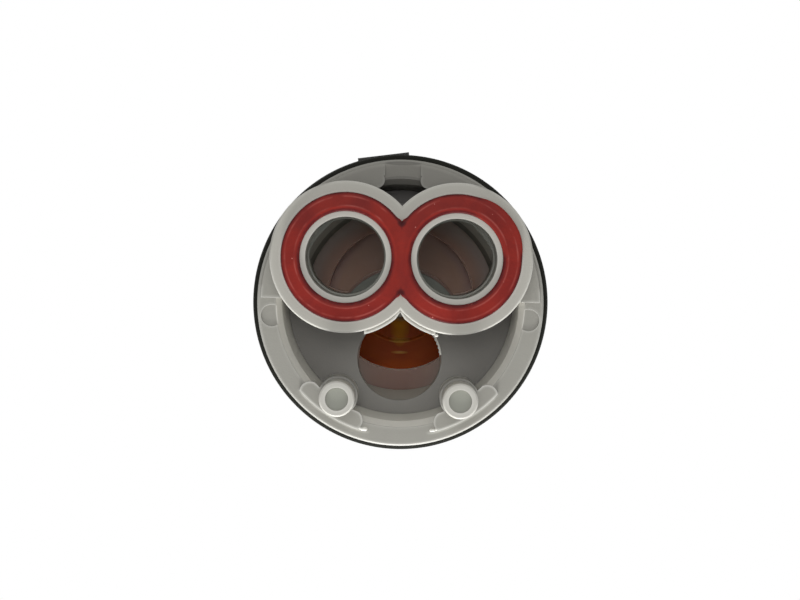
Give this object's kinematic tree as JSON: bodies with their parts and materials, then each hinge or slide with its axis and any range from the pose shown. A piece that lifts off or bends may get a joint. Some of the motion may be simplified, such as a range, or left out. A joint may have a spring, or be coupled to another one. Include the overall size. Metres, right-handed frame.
{
  "type": "faucet cartridge",
  "caption": "Single-lever mixer cartridge with ceramic discs: round black housing, square lever, and a gray base with a figure-eight port block, red seal and locating pins.",
  "frame": {"origin": "on the cartridge's axis, in the plane of the port block's face", "axes": "+Z along the axis from the port face to the lever, -Y towards the two inlet ports, +Y towards the outlet and the locating pins, hot inlet at -X"},
  "size_m": [0.0404, 0.0414, 0.0659],
  "materials": {
    "base_plastic": "light gray moulded acetal with a satin surface",
    "red_silicone": "dark red moulded silicone",
    "black_rubber": "black nitrile rubber",
    "disc_ceramic": "opaque alumina ceramic, ground and lapped",
    "carrier_plastic": "amber translucent engineering plastic",
    "rotor_plastic": "dark gray moulded acetal",
    "pin_steel": "ground stainless steel",
    "lever_metal": "die-cast zinc, tumbled",
    "glide_plastic": "natural low-friction plastic",
    "housing_plastic": "black moulded plastic, satin",
    "limiter_plastic": "red moulded plastic"
  },
  "bodies": {
    "valve_body": {"base": "base_plastic", "port_seal": "red_silicone", "body_ring": "black_rubber", "hot_gasket": "black_rubber", "cold_gasket": "black_rubber", "outlet_gasket": "black_rubber", "fixed_disc": "disc_ceramic", "glide_ring": "glide_plastic", "housing": "housing_plastic", "limiter_ring": "limiter_plastic"},
    "rotor": {"rotor": "rotor_plastic", "lever_pin": "pin_steel"},
    "lever": {"lever": "lever_metal"},
    "carrier": {"disc_carrier": "carrier_plastic", "moving_disc": "disc_ceramic", "carrier_seal": "black_rubber"}
  },
  "joints": [
    {"name": "rotor_turn", "type": "hinge", "parent": "valve_body", "child": "rotor", "pos_m": [0, 0, 0.035], "axis": [0, 0, 1], "range_deg": [-50, 50]},
    {"name": "lever_tilt", "type": "hinge", "parent": "rotor", "child": "lever", "pos_m": [0, 0, 0.03687], "axis": [-1, 0, 0], "range_deg": [0, 26]},
    {"name": "carrier_slide", "type": "slide", "parent": "rotor", "child": "carrier", "axis": [0, -1, 0], "range_m": [0, 0.0045]}
  ],
  "couplings": [
    {"joint": "carrier_slide", "follows": "lever_tilt", "m_per_rad": 0.009914}
  ]
}
